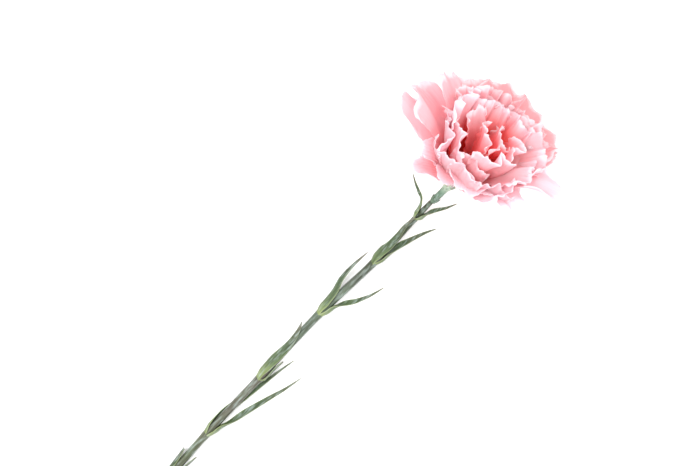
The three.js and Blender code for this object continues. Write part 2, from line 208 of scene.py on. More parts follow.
# Petals: facing is the turn round the bloom's axis (0 at -Y, 90 at the top). foot, knee and (reach, rise)
# place the foot, the bend and the middle of the margin, each out from the axis and on from the calyx mouth.
# cup curls the sides in, roll twists the petal along its length, swing turns its end round the axis, and
# arch rounds off its margin. ruffle is how high its broad waves are, and waves how many it has. fold, frill
# and pleat are how high its narrower waves are, and notch how deep the clefts in its margin. pale tells how
# little red the inner face and the back have, and dim how far their palest colour is held back, which is
# painted shade that dulls the petals on the far side of the bloom.
# A layer holds what its petals have in common. What DRAWN names is (middle, range) there, and each petal
# draws its own number from that. A petal's own value goes before both.
SEED = 7
DRAWN = ("cup", "roll", "swing", "ruffle", "waves")
OUTER = dict(
    foot=(2.4, 4.2), cup=(1, 2), roll=(0, 7), swing=(0, 3), ruffle=(1.2, 0.4), waves=(1.4, 0.4),
    arch=0.28, fold=0.8, pleat=0.008, notch=0.03, frill=0.35, dim=0.03, pale=(0.58, 0.72),
    petals=(
        dict(facing=181, reach=40, rise=15, width=18, dim=0.16),
        dict(facing=193, reach=40.5, rise=21, width=26, dim=0.16),
        dict(
            facing=212, reach=39, rise=27, width=21,
            arch=0.12, roll=-6, cup=0.3, ruffle=0.8, swing=-0.5, dim=0.16,
        ),
        dict(facing=234, reach=36.5, rise=29, width=25, dim=0.28),
        dict(facing=245, reach=39, rise=19, width=26, arch=0.38, dim=0.16),
        dict(facing=254, reach=38.5, rise=31, width=27, dim=0.28),
        dict(facing=275, reach=39.5, rise=31, width=27, dim=0.28),
        dict(facing=295, reach=39, rise=19, width=28, arch=0.38),
        dict(facing=295, reach=38.5, rise=31, width=26, dim=0.28),
        dict(facing=306, reach=38.5, rise=28, width=20, dim=0.28),
        dict(facing=345, reach=37.5, rise=28, width=21, arch=0.35),
        dict(facing=330, reach=25.5, rise=29, width=20),
        dict(facing=8, reach=26, rise=19, width=24),
        dict(facing=40, reach=20, rise=19, width=22),
        dict(facing=72, reach=21.5, rise=19, width=20),
        dict(facing=104, reach=20, rise=14, width=18),
        dict(facing=130, reach=27, rise=9, width=14, pleat=0.05, pale=(0.55, 0.55)),
        dict(facing=143, reach=23, rise=14, width=16, pleat=0.05, pale=(0.55, 0.6)),
    ),
)

# What three petals at the front of the ring have in common
SMOOTH_AND_PALE = dict(fold=0.9, frill=0.8, pale=(0.74, 0.84))

RING = dict(
    foot=(2, 5), knee=(7, 23), cup=(1.5, 2), roll=(0, 10), swing=(0, 5), ruffle=(2.0, 0.5), waves=(1.4, 0.4),
    arch=0.14, fold=1.5, pleat=0.018, notch=0.03, frill=1.1, dim=0, pale=(0.3, 0.5),
    petals=(
        dict(facing=186, reach=20.5, rise=38, width=28, knee=(12, 22), ruffle=1.2, pale=(0.25, 0.8)),
        dict(
            facing=140, reach=17, rise=33, width=22, knee=(14, 18),
            ruffle=0.4, roll=0, fold=0.5, pale=(0.25, 0.85),
        ),
        dict(
            facing=88, reach=15, rise=30, width=17, knee=(13, 15),
            ruffle=0.8, roll=0, fold=1.2, pale=(0.4, 0.7),
        ),
        dict(facing=45, reach=13, rise=36, width=22, knee=(11, 18), fold=1.4, pale=(0.42, 0.72)),
        dict(facing=345, reach=10, rise=37, width=17, pale=(0.15, 0.65)),
        dict(facing=235, reach=17.8, rise=37, width=24, frill=1.7, pale=(0.0, 0.4)),
        dict(facing=272, reach=18, rise=37, width=26, frill=1.7, pale=(-0.3, 0.4)),
        dict(facing=258, reach=30, rise=34, width=28, frill=1.8, dim=0.18),
        dict(facing=290, reach=27.4, rise=35.5, width=28, frill=1.8, dim=0.14),
        dict(facing=315, reach=25, rise=34.5, width=28, frill=1.7, dim=0.08),
        dict(facing=214, reach=26, rise=35, width=24, frill=1.5, dim=0.18),
        dict(facing=350, reach=21, rise=32, width=28, pale=(0.7, 0.75)),
        dict(facing=18, reach=20, rise=28, width=28, knee=(15, 14), **SMOOTH_AND_PALE),
        dict(facing=64, reach=18.5, rise=27, width=30, knee=(15, 14), **SMOOTH_AND_PALE),
        dict(facing=110, reach=20.5, rise=26, width=28, knee=(16, 13), **SMOOTH_AND_PALE),
        dict(facing=158, reach=20, rise=30, width=26, knee=(15, 16), fold=1.1, pale=(0.65, 0.84)),
    ),
)
THROAT = dict(
    foot=(1, 6), knee=(2, 21), cup=(1, 1), roll=(0, 6), swing=(0, 5), ruffle=(1.2, 0.4), waves=(1.2, 0.3),
    arch=0.1, fold=1.0, pleat=0.015, notch=0.04, frill=1.3, dim=0, pale=(0.1, 0.35),
    petals=(
        dict(facing=203, reach=15, rise=35, width=10.5, swing=-4, fold=0.7, pale=(0.5, 0.6)),
        dict(facing=150, reach=5.5, rise=36, width=15, fold=1.2, pale=(0.3, 0.45)),
        dict(facing=270, reach=7, rise=35.5, width=13, roll=80, fold=0.9, pale=(0.3, 0.4)),
        dict(facing=20, reach=6, rise=34, width=12),
    ),
)

# Pieces of the bloom, and how many of the petals above go into each
PETAL_PIECES = (
    ("petals_far", 9),
    ("petals_near", 9),
    ("petals_ring", 8),
    ("petals_front", 8),
    ("petals_throat", 4),
)

# Grid of a petal, its thickness at the foot and how much less that is at the margin
PETAL_COLUMNS = 100
PETAL_ROWS = 36
PETAL_THICKNESS = dict(foot=0.30, lost_at_margin=0.16)

# Form of every petal: its rows crowd towards the margin, its fan opens from a narrow foot, and the arch
# and the cuts of its margin grow towards its end. Where a layer has no knee, a petal's knee is a share of
# the way out and a little farther on than its margin.
ROW_CROWDING = 0.65
FAN = dict(foot_width=0.12, opened_at=0.9, power=1.2)
ARCH_ROUNDNESS = 2.4
ARCH_ONSET = 1.2
MARGIN_ONSET = 3
KNEE_OUT_SHARE = 0.35
KNEE_BEYOND = 2

# Waves of a petal: the larger its onset, the later towards the margin a kind grows. start is what the
# petal's phase is multiplied by to start it, and push how far the slow noise called wander moves it.
# half_wave is from a crest to the next hollow, and wave from crest to crest. shift, scale, middle and range
# set the patches of noise in which a kind gathers, and most is its greatest strength there. apart and
# lengthwise place a petal and its rows in the noise. A crinkle's height is a share of the frill's, which
# counts up to most_frill.
WANDER = dict(scale=0.09, height=1.5, onset=2, apart=7.3, lengthwise=14)
RUFFLES = dict(onset=2, start=3, push=1.6)
FOLDS = dict(
    half_wave=4.4, onset=4, start=5, push=2.2, sway=0.7,
    shift=31, scale=0.12, middle=1, range=0.9,
)
CRINKLES = dict(
    half_wave=1.25, onset=8, start=1, push=3, height=0.5, most_frill=1.2,
    shift=57, scale=0.16, middle=0.5, range=1.2, most=1,
)
FRILLS = dict(
    half_wave=2.3, onset=6, start=7, push=3,
    shift=77, scale=0.13, middle=0.7, range=1.4, most=1.8,
)
PLEATS = dict(half_wave=0.8, start=0, push=2)
SIDE_WAVES = dict(wave=5.5, power=5, start=4, push=3, height=0.6)

# Margin of a petal: clefts, teeth like a saw's that a coarse noise sways, and on top of them that noise and
# a fine one
CLEFTS = dict(each_half=1.5, power=0.6)
SAW = dict(length=0.9, sway=0.9, height=0.35, range=0.3)
COARSE = dict(apart=3.1, scale=0.28, height=1.3)
FINE = dict(shift=5, scale=1.1, height=0.4)


def random_row(seed):
    """The same seed always gives the same row of numbers from 0 to 1."""
    factor, step, size = 1664525, 1013904223, 2 ** 32
    state = seed
    while True:
        state = (state * factor + step) % size
        yield state / size


def smoothstep(x, low, high):
    """0 up to low, 1 from high on, and a soft rise between them."""
    t = np.clip((x - low) / (high - low), 0, 1)
    return t * t * (3 - 2 * t)


def unit(vectors, least=1e-9):
    """Each vector at length 1. One shorter than the least length stays shorter than 1."""
    return vectors / np.maximum(np.linalg.norm(vectors, axis=-1, keepdims=True), least)


def course(rows, t):
    """A smooth course through rows of numbers, read at each t. It starts at t = 0 and ends at t = 1."""
    rows = np.asarray(rows, float)
    last = len(rows) - 1
    place = np.clip(t, 0, 1) * last
    i = np.minimum(place.astype(int), last - 1)
    f = (place - i)[..., None]
    a, b, c, d = (rows[np.clip(i + k, 0, last)] for k in (-1, 0, 1, 2))
    return b + 0.5 * f * (c - a + f * (2 * a - 5 * b + 4 * c - d + f * (3 * (b - c) + d - a)))


def stem_at(x):
    """Where the stem's axis is at each distance along it: points, directions, upper sides and radii."""
    x = np.asarray(x, float)
    rows = np.asarray(STEM_AXIS, float)
    last = len(rows) - 1
    after, before = rows[[*range(1, last + 1), last]], rows[[0, *range(last)]]
    slopes = (after - before) / (after[:, :1] - before[:, :1])
    i = np.clip(np.searchsorted(rows[:, 0], x, side="right") - 1, 0, last - 1)
    a, b, slope_a, slope_b = rows[i], rows[i + 1], slopes[i], slopes[i + 1]
    span = b[..., :1] - a[..., :1]
    f = (x[..., None] - a[..., :1]) / span
    p, q = slope_a * span, slope_b * span
    read = a + f * (p + f * (3 * (b - a) - 2 * p - q + f * (2 * (a - b) + p + q)))
    rate = slope_a * (1 - f) + slope_b * f
    direction = unit(np.stack([np.ones_like(x), rate[..., 1], rate[..., 2]], -1))
    upper = np.zeros_like(direction)
    upper[..., 2] = 1
    upper = unit(upper - direction * direction[..., 2:3])
    swell = sum(NODE_SWELLING * np.exp(-(((x - n) / NODE_LENGTH) ** 2)) for n in NODE_PLACES)
    point = np.stack([x, read[..., 1], read[..., 2]], -1)
    return point, direction, upper, read[..., 3] + swell


def in_bloom(across, upward, onward):
    """Points told across, upward and onward from the calyx mouth, in the frame of the whole flower."""
    point = MOUTH + onward[..., None] * AXIS + upward[..., None] * UPPER
    point[..., 1] -= across
    return point


def rings_in_bloom(spread, angle, onward):
    """Rings of points round the bloom's axis, spread out from it at each angle."""
    return in_bloom(spread * np.cos(angle), spread * np.sin(angle), onward)


def ribbed(ribs, angle):
    """What ribs or ridges multiply a bar's radius by at each angle."""
    return 1 + ribs["height"] * np.cos(ribs["count"] * angle)[None]


def grid_normals(points):
    """Normals of a grid of points, rows by columns."""
    along_u = np.gradient(points, axis=1)
    along_v = np.gradient(points, axis=0)
    return unit(np.cross(along_u, along_v))


def noise_at(points, scale):
    """Smooth noise from -1 to 1 at each point."""
    flat = points.reshape(-1, 3) * scale
    values = np.array([noise.noise(Vector(p)) for p in flat])
    return values.reshape(points.shape[:-1])


class Build:
    """Gathers closed shells into one mesh. Its petal map holds the places on each shell, and its tint map
    holds how red the shell is and how far its palest colour is held back, which on the petals is painted
    shade."""

    def __init__(self):
        self.points, self.faces, self.uvs, self.tints = [], [], [], []
        self.count = 0

    def add(self, points, faces, uvs, tint):
        """Takes in one closed shell."""
        self.points.append(points)
        self.faces.append(faces + self.count)
        self.uvs.append(uvs)
        self.tints.append(tint)
        self.count += len(points)

    def shell(self, middle, thickness, tints=((0, 0), (0, 0))):
        """A thin closed solid round a grid of middle points, with a tint for either face."""
        rows, columns = middle.shape[:2]
        normals = grid_normals(middle)
        half = (0.5 * thickness)[..., None] * normals
        points = np.concatenate([(middle + half).reshape(-1, 3), (middle - half).reshape(-1, 3)])
        v, u = np.meshgrid(np.linspace(0, 1, rows), np.linspace(0, 1, columns), indexing="ij")
        uv = np.stack([u, v], -1).reshape(-1, 2)
        index = np.arange(rows * columns).reshape(rows, columns)
        a, b, c, d = index[:-1, :-1], index[:-1, 1:], index[1:, 1:], index[1:, :-1]
        top = np.stack([a, b, c, d], -1).reshape(-1, 4)
        layer = rows * columns
        low = top[:, ::-1] + layer
        border = np.concatenate([index[0, :-1], index[:-1, -1], index[-1, :0:-1], index[:0:-1, 0]])
        after = np.roll(border, -1)
        rim = np.stack([border, border + layer, after + layer, after], -1)
        tint = np.repeat(np.array(tints, float), layer, axis=0)
        self.add(points, np.concatenate([top, low, rim]), np.concatenate([uv, uv]), tint)

    def tube(self, rings, uv_length=1.0, tint=(0, 0)):
        """A closed bar from rings of points, rings by sides. Each ring runs clockwise, seen from the last."""
        steps, sides = rings.shape[:2]
        points = rings.reshape(-1, 3)
        index = np.arange(steps * sides).reshape(steps, sides)
        beside = np.roll(index, -1, axis=1)
        body = np.stack([index[:-1], index[1:], beside[1:], beside[:-1]], -1).reshape(-1, 4)
        ends = np.stack([rings[0].mean(0), rings[-1].mean(0)])
        first, last = np.full(sides, steps * sides), np.full(sides, steps * sides + 1)
        first_cap = np.stack([index[0], beside[0], first, first], -1)
        last_cap = np.stack([beside[-1], index[-1], last, last], -1)
        v, u = np.meshgrid(np.linspace(0, uv_length, steps), np.linspace(0, 1, sides), indexing="ij")
        uv = np.concatenate([np.stack([u, v], -1).reshape(-1, 2), [[0.5, 0], [0.5, uv_length]]])
        tints = np.tile(np.array(tint, float), (len(points) + len(ends), 1))
        self.add(np.concatenate([points, ends]), np.concatenate([body, first_cap, last_cap]), uv, tints)

    def object(self, name, material):
        """The gathered shells as one smooth object. A corner that a face names twice is kept once."""
        points = np.concatenate(self.points) * MM
        faces = np.concatenate(self.faces)
        uvs, tints = np.concatenate(self.uvs), np.concatenate(self.tints)
        mesh = bpy.data.meshes.new(name)
        mesh.from_pydata(points.tolist(), [], [list(dict.fromkeys(f)) for f in faces.tolist()])
        loops = np.empty(len(mesh.loops), int)
        mesh.loops.foreach_get("vertex_index", loops)
        for layer_name, values in (("petal", uvs), ("tint", tints)):
            layer = mesh.uv_layers.new(name=layer_name)
            layer.data.foreach_set("uv", values[loops].astype(np.float32).ravel())
        mesh.polygons.foreach_set("use_smooth", np.ones(len(mesh.polygons), bool))
        mesh.update()
        piece = bpy.data.objects.new(name, mesh)
        piece.data.materials.append(material)
        bpy.context.scene.collection.objects.link(piece)
        return piece


def list_petals():
    """Every petal with its whole form: what its layer has in common, its own draws and its own values."""
    row = random_row(SEED)
    petals = []
    for layer in (OUTER, RING, THROAT):
        habit = {name: value for name, value in layer.items() if name != "petals"}
        for petal in layer["petals"]:
            drawn = {name: habit[name][0] + habit[name][1] * (2 * next(row) - 1) for name in DRAWN}
            drawn["phase"] = next(row) * math.pi
            knee = habit.get("knee", (petal["reach"] * KNEE_OUT_SHARE, petal["rise"] + KNEE_BEYOND))
            petals.append(habit | drawn | dict(knee=knee) | petal)
    return petals


def petal_margin(petal, number, u):
    """How far clefts and teeth cut the margin back at each place across it, as a share of the length."""
    half = 0.5 * petal["width"]
    strip = np.stack([u * half, np.full_like(u, number * COARSE["apart"]), np.zeros_like(u)], -1)
    coarse = noise_at(strip, COARSE["scale"])
    fine = noise_at(strip + FINE["shift"], FINE["scale"])
    cleft = np.abs(np.sin(math.pi * CLEFTS["each_half"] * (u + 1) + petal["phase"])) ** CLEFTS["power"]
    saw = np.abs((u * half / SAW["length"] + SAW["sway"] * coarse) % 1.0 - 0.5) * 2
    length = math.hypot(petal["reach"], petal["rise"])
    teeth = (SAW["height"] + SAW["range"] * fine) * (1 - saw)
    teeth = teeth + COARSE["height"] * coarse + FINE["height"] * fine
    return petal["notch"] * (1 - cleft) + teeth / length


def petal_line(petal, t):
    """The course of a petal's middle, out from the axis and onward, and the way in from its face."""
    foot, knee, tip = petal["foot"], petal["knee"], (petal["reach"], petal["rise"])
    a, b, c = (1 - t) ** 2, 2 * t * (1 - t), t * t
    out = a * foot[0] + b * knee[0] + c * tip[0]
    on = a * foot[1] + b * knee[1] + c * tip[1]
    out_rate = (1 - t) * (knee[0] - foot[0]) + t * (tip[0] - knee[0])
    on_rate = (1 - t) * (knee[1] - foot[1]) + t * (tip[1] - knee[1])
    length = np.hypot(out_rate, on_rate)
    return out, on, -on_rate / length, out_rate / length


def gathered(place, kind):
    """How strong a kind of wave is at each place of a petal, by patches of slow noise."""
    strength = kind["middle"] + kind["range"] * noise_at(place + kind["shift"], kind["scale"])
    return np.clip(strength, 0, kind["most"]) if "most" in kind else strength


def broad_waves(petal, u, v, wander):
    """The ruffles of a petal and the cup of its sides."""
    turn = math.pi * petal["waves"] * u + petal["phase"] * RUFFLES["start"] + RUFFLES["push"] * wander
    return petal["ruffle"] * v ** RUFFLES["onset"] * np.sin(turn) + petal["cup"] * u * u * v * v


def side_waves(petal, u, v, wander):
    """The waves that run up a petal's sides."""
    rate = TAU * math.hypot(petal["reach"], petal["rise"]) / SIDE_WAVES["wave"]
    turn = rate * v + petal["phase"] * SIDE_WAVES["start"] + SIDE_WAVES["push"] * wander
    at_side = np.abs(u) ** SIDE_WAVES["power"]
    return SIDE_WAVES["height"] * petal["frill"] * at_side * v * np.sin(turn)


def petal_waves(petal, number, u, v):
    """How far waves lift a petal's surface inward, and how far its folds sway it along the margin."""
    half = 0.5 * petal["width"]
    place = np.stack([u * half, np.full_like(u, number * WANDER["apart"]), v * WANDER["lengthwise"]], -1)
    wander = noise_at(place, WANDER["scale"])

    def turn(kind):
        return math.pi * half / kind["half_wave"] * u + kind["push"] * wander + petal["phase"] * kind["start"]

    lift = broad_waves(petal, u, v, wander)
    folded = gathered(place, FOLDS)
    lift = lift + petal["fold"] * folded * v ** FOLDS["onset"] * np.sin(turn(FOLDS))
    crisp = gathered(place, CRINKLES) * min(petal["frill"], CRINKLES["most_frill"])
    lift = lift + CRINKLES["height"] * crisp * v ** CRINKLES["onset"] * np.sin(turn(CRINKLES))
    lift = lift + petal["frill"] * gathered(place, FRILLS) * v ** FRILLS["onset"] * np.sin(turn(FRILLS))
    lift = lift + side_waves(petal, u, v, wander)
    lift = lift + WANDER["height"] * v ** WANDER["onset"] * wander
    lift = lift + petal["pleat"] * v * np.sin(turn(PLEATS))
    along = FOLDS["sway"] * petal["fold"] * folded * v ** FOLDS["onset"] * np.cos(turn(FOLDS))
    return lift, along


def petal_middle(petal, number):
    """The middle surface of a petal as a grid of points: a narrow foot that opens into a ruffled fan."""
    crowded = np.linspace(0, 1, PETAL_ROWS + 1) ** ROW_CROWDING
    u, v = np.meshgrid(np.linspace(-1, 1, PETAL_COLUMNS + 1), crowded)
    cut = petal_margin(petal, number, u[0])[None]
    arch = petal["arch"] * np.abs(u) ** ARCH_ROUNDNESS
    out, on, in_out, in_on = petal_line(petal, v * (1 - arch * v ** ARCH_ONSET - cut * v ** MARGIN_ONSET))
    opened = np.sin(math.pi / 2 * np.minimum(v / FAN["opened_at"], 1))
    spread = FAN["foot_width"] + (1 - FAN["foot_width"]) * opened ** FAN["power"]
    across = 0.5 * petal["width"] * u * spread
    lift, along = petal_waves(petal, number, u, v)
    roll = np.radians(petal["roll"]) * v
    sideways = across * np.cos(roll) - lift * np.sin(roll)
    inwards = lift * np.cos(roll) + across * np.sin(roll)
    turn = np.radians(petal["facing"] + petal["swing"] * v * v)
    away = out + in_out * inwards
    return in_bloom(
        away * np.cos(turn) - (sideways + along) * np.sin(turn),
        away * np.sin(turn) + (sideways + along) * np.cos(turn),
        on + in_on * inwards,
    ), v


def leaf_taper(leaf, v):
    """How wide a leaf is at v, as a share: full at its foot, and narrower towards its tip."""
    past_start = (np.maximum(v, TAPER_START) - TAPER_START) / ROUND_SPAN
    rounded = np.sqrt(1 - past_start ** 2)
    if "tip" in leaf:
        return np.maximum(rounded, leaf["tip"])
    return np.minimum(rounded, POINTED["width"] * (POINTED["end"] - v) ** POINTED["power"])


def leaf_line(leaf, v):
    """Where a leaf's midrib runs, and the direction and the back of the leaf there."""
    path = np.asarray(leaf["path"], float)
    point, direction, upper, _ = stem_at(NODE_PLACES[leaf["node"]] + path[:, 0])
    turn = np.radians(path[:, 2])[:, None]
    side = np.cross(direction, upper)
    out = side * np.cos(turn) + upper * np.sin(turn)
    places = np.concatenate([point + out * path[:, 1:2], out], 1)
    line = course(places, v)
    line[:, :3] -= line[:, 3:] * (BASE_HUG * (1 - smoothstep(v, 0, HUG_END)))[:, None]
    ahead = course(places, v + HEADING_STEP)[:, :3]
    behind = course(places, v - HEADING_STEP)[:, :3]
    direction = unit(ahead - behind)
    back = line[:, 3:] + np.array((0, 0, 1.0)) * (leaf["face"] * smoothstep(v, *FACE_TURNS))[:, None]
    back = unit(back - direction * np.sum(back * direction, 1, keepdims=True))
    return line[:, :3], direction, back


def leaf_middle(leaf):
    """The middle surface of a leaf: a sheath round the stem that runs out into a keeled blade."""
    u, v = np.meshgrid(np.linspace(-1, 1, LEAF_COLUMNS + 1), np.linspace(0, 1, LEAF_ROWS + 1))
    line, direction, back = leaf_line(leaf, v[:, 0])
    side = np.cross(direction, back)
    opened = smoothstep(v[:, 0], *BLADE_OPENS)
    width = (2 * SHEATH_ARC * leaf["path"][0][1]) * (1 - opened) + leaf["width"] * opened
    width = width * leaf_taper(leaf, v[:, 0])
    arc = SHEATH_ARC * (1 - opened) + BLADE_ARC * opened
    radius = width / 2 / arc
    bend = u * arc[:, None]
    middle = line[:, None] + side[:, None] * (radius[:, None] * np.sin(bend))[..., None]
    middle = middle - back[:, None] * (radius[:, None] * (1 - np.cos(bend)))[..., None]
    return middle, u, v


# Materials: colours run from the reddest to the palest on a petal, and from the foot to the tip elsewhere.
# A ramp's stops are (place, colour).
BLACK = (0, 0, 0)
WHITE = (1, 1, 1)
PETAL_COLOURS = (
    (0.0, (0.98, 0.13, 0.115)),
    (0.25, (0.98, 0.23, 0.22)),
    (0.50, (0.96, 0.39, 0.40)),
    (0.68, (0.95, 0.53, 0.555)),
    (0.84, (0.94, 0.66, 0.695)),
    (1.0, (0.94, 0.78, 0.825)),
)
STEM_COLOURS = (
    (0.0, (0.10, 0.15, 0.08)), (0.25, (0.09, 0.11, 0.06)), (0.45, (0.11, 0.10, 0.08)),
    (0.62, (0.10, 0.14, 0.09)), (0.8, (0.07, 0.08, 0.06)), (1.0, (0.06, 0.08, 0.04)),
)
LEAF_COLOURS = (
    (0.0, (0.19, 0.24, 0.085)), (0.2, (0.09, 0.135, 0.055)), (0.6, (0.06, 0.095, 0.045)),
    (0.9, (0.11, 0.12, 0.08)), (1.0, (0.20, 0.18, 0.15)),
)
CALYX_COLOURS = ((0.0, (0.10, 0.16, 0.10)), (0.6, (0.13, 0.21, 0.15)), (1.0, (0.42, 0.5, 0.38)))

# Petal skin: how much blotches, the throat's glow, veins, flecks and the sides count, its pale rim, and how
# much deeper and how strong the light is that comes through. The pale rim and its flecks are partly the
# margin's own paleness and partly painted highlight.
BLOTCH_SHARE = 0.2
GLOW_SHARE = 0.7
VEIN_STRETCH = (46, 2.4, 1)
VEIN_SHADES = ((0.35, (0.95, 0.88, 0.88)), (0.62, WHITE))
VEIN_SHARE = 0.3
HIGHLIGHT_FLECK_SHARE = 0.42
SIDE_POWER = 14.0
SIDE_SHARE = 0.45
RIM_AND_HIGHLIGHT_STOPS = ((0.90, BLACK), (1.0, (0.7, 0.7, 0.7)))
RIM_AND_HIGHLIGHT_COLOUR = (0.99, 0.93, 0.95)
DEEPER_THROUGH = 0.3
LIGHT_THROUGH = 0.62

# Green skin: long fine streaks that darken it, pale patches that are partly a waxen bloom and partly painted
# highlight, and a pale edge
STREAK_STRETCH = (90, 900, 900)
STREAK_SHADES = ((0.35, (0.4, 0.42, 0.36)), (0.6, WHITE))
STREAK_SHARE = 0.75
WAX_AND_HIGHLIGHT_STRETCH = (150, 1000, 1000)
WAX_AND_HIGHLIGHT_STOPS = ((0.50, BLACK), (0.70, WHITE))
WAX_AND_HIGHLIGHT_COLOUR = (0.33, 0.40, 0.37)
WAX_ROUGHNESS = 0.2
EDGE_STOPS = ((0.40, BLACK), (0.47, WHITE))
EDGE_COLOUR = (0.36, 0.42, 0.2)
UNEVEN_SHARE = 0.5

# Floor: a pale grey with a faint grain
FLOOR_COLOURS = ((0.3, (0.90, 0.90, 0.90)), (0.7, (0.93, 0.93, 0.93)))


def new_material(name):
    """An empty material and its tree of nodes."""
    material = bpy.data.materials.new(name)
    material.use_nodes = True
    tree = material.node_tree
    tree.nodes.clear()
    return material, tree


def node(tree, kind, inputs=(), **settings):
    """A new node. An input is linked where it is another node's output, and otherwise set."""
    made = tree.nodes.new(kind)
    for key, value in settings.items():
        setattr(made, key, value)
    for key, value in dict(inputs).items():
        if hasattr(value, "is_output"):
            tree.links.new(value, made.inputs[key])
        else:
            made.inputs[key].default_value = value
    return made


def ramp(tree, factor, stops):
    """The colour that a factor from 0 to 1 has on a row of stops."""
    made = node(tree, "ShaderNodeValToRGB", {"Fac": factor})
    elements = made.color_ramp.elements
    while len(elements) < len(stops):
        elements.new(0.5)
    for element, (place, colour) in zip(elements, stops):
        element.position = place
        element.color = (*colour, 1)
    return made.outputs["Color"]


def mix(tree, factor, a, b, blend="MIX"):
    """Two colours mixed. The node's inputs 0, 6 and 7 are the factor and the two colours."""
    made = node(tree, "ShaderNodeMix", data_type="RGBA", blend_type=blend)
    for socket, value in ((made.inputs[0], factor), (made.inputs[6], a), (made.inputs[7], b)):
        if hasattr(value, "is_output"):
            tree.links.new(value, socket)
        else:
            socket.default_value = value if isinstance(value, (int, float)) else (*value, 1)
    return made.outputs[2]


def maths(tree, operation, a, b=0.0, clamp=False):
    made = node(tree, "ShaderNodeMath", {0: a, 1: b}, operation=operation, use_clamp=clamp)
    return made.outputs[0]


def noise_texture(tree, vector, scale, detail):
    inputs = {"Vector": vector, "Scale": scale, "Detail": detail}
    return node(tree, "ShaderNodeTexNoise", inputs).outputs["Fac"]


def stretched_noise(tree, vector, stretch, detail):
    mapping = node(tree, "ShaderNodeMapping", {"Vector": vector, "Scale": stretch})
    return noise_texture(tree, mapping.outputs[0], scale=1.0, detail=detail)


def swayed(tree, texture, share):
    """Noise from 0 to 1 as a sway to either side of 0."""
    return maths(tree, "MULTIPLY", maths(tree, "SUBTRACT", texture, 0.5), share)


def off_middle(tree, split):
    """How far a place is from the midrib, from 0 to 0.5."""
    return maths(tree, "ABSOLUTE", maths(tree, "SUBTRACT", split.outputs["X"], 0.5))


def uv_place(tree, name):
    """The place on a UV map."""
    return node(tree, "ShaderNodeUVMap", uv_map=name).outputs[0]


def parts(tree, vector):
    """A node whose outputs X and Y are those of the vector."""
    return node(tree, "ShaderNodeSeparateXYZ", {0: vector})


def petal_redness(tree, coords, split, marks):
    """Where a petal is on its row of colours: reddest at the foot and in the throat, palest at the margin,
    and held back from its palest by painted shade, most on the far side of the bloom.
    """
    blotch = noise_texture(tree, coords, scale=110.0, detail=2.0)
    depth = maths(tree, "MULTIPLY", maths(tree, "SUBTRACT", 1.0, split.outputs["Y"]), marks.outputs["X"])
    uneven = swayed(tree, blotch, BLOTCH_SHARE)
    to_throat = {0: coords, 1: MM * THROAT_POINT}
    near = node(tree, "ShaderNodeVectorMath", to_throat, operation="DISTANCE").outputs["Value"]
    glow = maths(tree, "SUBTRACT", 1.0, maths(tree, "DIVIDE", near, MM * THROAT_REACH), clamp=True)
    reddened = maths(tree, "MULTIPLY", glow, marks.outputs["X"])
    depth = maths(tree, "ADD", depth, maths(tree, "MULTIPLY", reddened, GLOW_SHARE))
    shifted = maths(tree, "SUBTRACT", maths(tree, "ADD", 1.0, uneven), depth, clamp=True)
    # Painted shade: the palest colour is held back by the tint map's second value.
    palest = maths(tree, "SUBTRACT", 1.0, marks.outputs["Y"])
    return maths(tree, "MINIMUM", shifted, palest)


def pale_rim_and_highlight(tree, coords, split):
    """The pale rim along the margin and up the sides, broken by flecks: partly the margin's own paleness and
    partly painted highlight.
    """
    length = split.outputs["Y"]
    highlight_patch = noise_texture(tree, coords, scale=170.0, detail=2.0)
    highlight_flecked = maths(tree, "ADD", length, swayed(tree, highlight_patch, HIGHLIGHT_FLECK_SHARE))
    doubled = maths(tree, "MULTIPLY", off_middle(tree, split), 2.0)
    at_side = maths(tree, "POWER", doubled, SIDE_POWER)
    side = maths(tree, "MULTIPLY", maths(tree, "MULTIPLY", at_side, length), SIDE_SHARE)
    return ramp(tree, maths(tree, "ADD", highlight_flecked, side), RIM_AND_HIGHLIGHT_STOPS)


def petal_material():
    """Thin, soft and translucent, with veins that run from the foot to the margin."""
    material, tree = new_material("petal")
    place = uv_place(tree, "petal")
    split = parts(tree, place)
    marks = parts(tree, uv_place(tree, "tint"))
    coords = node(tree, "ShaderNodeTexCoord").outputs["Object"]
    veins = stretched_noise(tree, place, VEIN_STRETCH, detail=3.0)
    colour = ramp(tree, petal_redness(tree, coords, split, marks), PETAL_COLOURS)
    colour = mix(tree, VEIN_SHARE, colour, ramp(tree, veins, VEIN_SHADES), "MULTIPLY")
    # Painted highlight together with the margin's own pale rim: near-white along the margin, up the sides and
    # in flecks.
    colour = mix(tree, pale_rim_and_highlight(tree, coords, split), colour, RIM_AND_HIGHLIGHT_COLOUR)
    bump = node(tree, "ShaderNodeBump", {"Height": veins, "Strength": 0.25, "Distance": 0.0003})
    surface = node(tree, "ShaderNodeBsdfPrincipled", {
        "Base Color": colour, "Roughness": 0.5, "Normal": bump.outputs[0], "Specular IOR Level": 0.35,
        "Sheen Weight": 0.1, "Sheen Roughness": 0.4,
    })
    deeper = mix(tree, DEEPER_THROUGH, colour, colour, "MULTIPLY")
    through = node(tree, "ShaderNodeBsdfTranslucent", {"Color": deeper, "Normal": bump.outputs[0]})
    skin = {0: LIGHT_THROUGH, 1: surface.outputs[0], 2: through.outputs[0]}
    both = node(tree, "ShaderNodeMixShader", skin)
    node(tree, "ShaderNodeOutputMaterial", {"Surface": both.outputs[0]})
    return material


